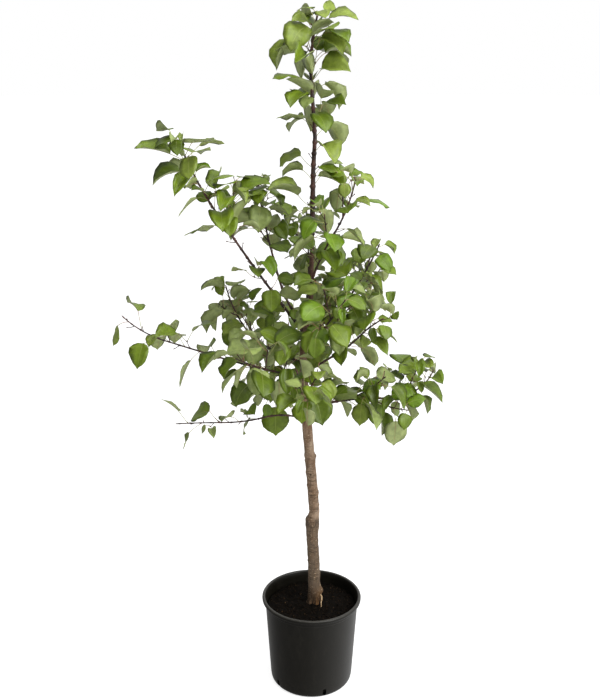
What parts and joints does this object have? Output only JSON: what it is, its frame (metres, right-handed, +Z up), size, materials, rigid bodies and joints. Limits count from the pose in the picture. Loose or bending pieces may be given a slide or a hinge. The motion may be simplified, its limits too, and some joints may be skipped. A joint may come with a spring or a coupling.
{
  "type": "potted apricot tree",
  "caption": "Young grafted apricot tree with a central leader and spreading leafy side shoots, standing in a round black nursery pot filled with soil.",
  "frame": {"origin": "centre of the pot's round underside", "axes": "+Z up along the trunk, +X to the right and +Y away from the viewer in the picture"},
  "size_m": [0.8711, 0.673, 1.8356],
  "materials": {
    "pot_plastic": "satin",
    "potting_soil": "matte",
    "trunk_bark": "matte",
    "young_bark": "satin",
    "foliage": "satin"
  },
  "bodies": {
    "root": {"pot": "pot_plastic", "soil": "potting_soil", "trunk": "trunk_bark", "bough_left_high": "young_bark", "bough_left_middle": "young_bark", "bough_left_low": "young_bark", "bough_right_low": "young_bark", "bough_left_inner": "young_bark", "bough_front_upright": "young_bark", "bough_right_high": "young_bark", "bough_right_middle": "young_bark", "bough_back_left": "young_bark", "bough_left_lower": "young_bark", "bough_front_left": "young_bark", "bough_front_low": "young_bark", "bough_front_right": "young_bark", "bough_back_right": "young_bark", "bough_back_upright": "young_bark", "bough_back_low": "young_bark", "leaves_leader": "foliage", "leaves_left_high": "foliage", "leaves_left_middle": "foliage", "leaves_left_low": "foliage", "leaves_right_low": "foliage", "leaves_left_inner": "foliage", "leaves_front_upright": "foliage", "leaves_right_high": "foliage", "leaves_right_middle": "foliage", "leaves_back_left": "foliage", "leaves_left_lower": "foliage", "leaves_front_left": "foliage", "leaves_front_low": "foliage", "leaves_front_right": "foliage", "leaves_back_right": "foliage", "leaves_back_upright": "foliage", "leaves_back_low": "foliage"}
  },
  "joints": []
}
